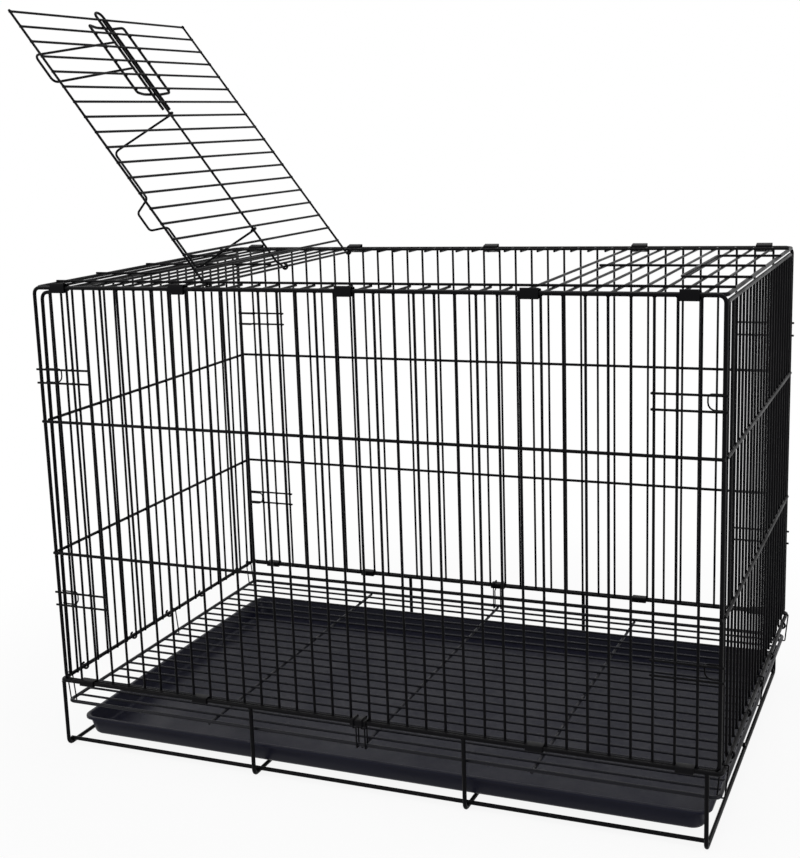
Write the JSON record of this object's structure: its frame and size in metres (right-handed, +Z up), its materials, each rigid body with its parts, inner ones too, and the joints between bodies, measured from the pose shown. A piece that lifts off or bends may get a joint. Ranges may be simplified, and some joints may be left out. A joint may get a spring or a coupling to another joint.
{
  "type": "wire pet cage",
  "caption": "Folding black wire pet cage on a wire stand: bolted top door with carrying handle, hinged end panels with locks, floor grate and slide-out tray.",
  "frame": {"origin": "centre of the bounding box on the floor under the stand", "axes": "+X from the end whose side the open top door leans over to the other end, +Y from front to back, +Z up"},
  "size_m": [0.9808, 0.5962, 1.034],
  "materials": {
    "black_paint": "semi-gloss black coating on steel wire and sheet",
    "tray_plastic": "glossy, very dark blue-black moulded plastic"
  },
  "bodies": {
    "cage": {"stand_ring": "black_paint", "stand_leg_left": "black_paint", "stand_leg_middle_left": "black_paint", "stand_leg_middle_right": "black_paint", "stand_leg_right": "black_paint", "stand_runner_front": "black_paint", "stand_runner_middle": "black_paint", "stand_runner_back": "black_paint", "front_panel": "black_paint", "back_panel": "black_paint", "roof_panel": "black_paint", "front_top_clip_1": "black_paint", "front_top_clip_2": "black_paint", "front_top_clip_3": "black_paint", "front_top_clip_4": "black_paint", "front_top_clip_5": "black_paint", "back_top_clip_1": "black_paint", "back_top_clip_2": "black_paint", "back_top_clip_3": "black_paint", "back_top_clip_4": "black_paint", "back_top_clip_5": "black_paint", "front_bottom_clip_1": "black_paint", "front_bottom_clip_2": "black_paint", "front_bottom_clip_3": "black_paint", "front_bottom_clip_4": "black_paint", "front_bottom_clip_5": "black_paint", "back_bottom_clip_1": "black_paint", "back_bottom_clip_2": "black_paint", "back_bottom_clip_3": "black_paint", "back_bottom_clip_4": "black_paint", "back_bottom_clip_5": "black_paint", "floor_grate": "black_paint", "left_end_hanger_1": "black_paint", "left_end_hanger_2": "black_paint", "left_end_hanger_3": "black_paint", "right_end_hanger_1": "black_paint", "right_end_hanger_2": "black_paint", "right_end_hanger_3": "black_paint", "front_hanger_left": "black_paint", "front_hanger_right": "black_paint", "back_hanger_left": "black_paint", "back_hanger_right": "black_paint"},
    "left_end": {"left_end_panel": "black_paint", "left_front_lower_lock": "black_paint", "left_front_upper_lock": "black_paint", "left_back_lower_lock": "black_paint", "left_back_upper_lock": "black_paint"},
    "right_end": {"right_end_panel": "black_paint", "right_front_lower_lock": "black_paint", "right_front_upper_lock": "black_paint", "right_back_lower_lock": "black_paint", "right_back_upper_lock": "black_paint"},
    "door": {"top_door": "black_paint", "bolt_guard": "black_paint"},
    "bolt": {"door_bolt": "black_paint"},
    "handle": {"carry_handle": "black_paint"},
    "tray": {"tray": "tray_plastic"}
  },
  "joints": [
    {"name": "left_end_fold", "type": "hinge", "parent": "cage", "child": "left_end", "pos_m": [-0.4338, 0, 0.09998], "axis": [0, 1, 0], "range_deg": [0, 86]},
    {"name": "right_end_fold", "type": "hinge", "parent": "cage", "child": "right_end", "pos_m": [0.4842, 0, 0.09998], "axis": [0, -1, 0], "range_deg": [0, 88.3]},
    {"name": "top_door_hinge", "type": "hinge", "parent": "cage", "child": "door", "pos_m": [-0.1958, 0, 0.65648], "axis": [0, 1, 0], "range_deg": [0, 127]},
    {"name": "door_bolt_slide", "type": "slide", "parent": "door", "child": "bolt", "axis": [0.6018, 0, -0.7986], "range_m": [0, 0.012]},
    {"name": "carry_handle_swing", "type": "hinge", "parent": "door", "child": "handle", "pos_m": [-0.20111, 0, 0.65247], "axis": [-0.6018, 0, 0.7986], "range_deg": [0, 48]},
    {"name": "tray_slide", "type": "slide", "parent": "cage", "child": "tray", "axis": [1, 0, 0], "range_m": [-0.8, 0.8]}
  ]
}
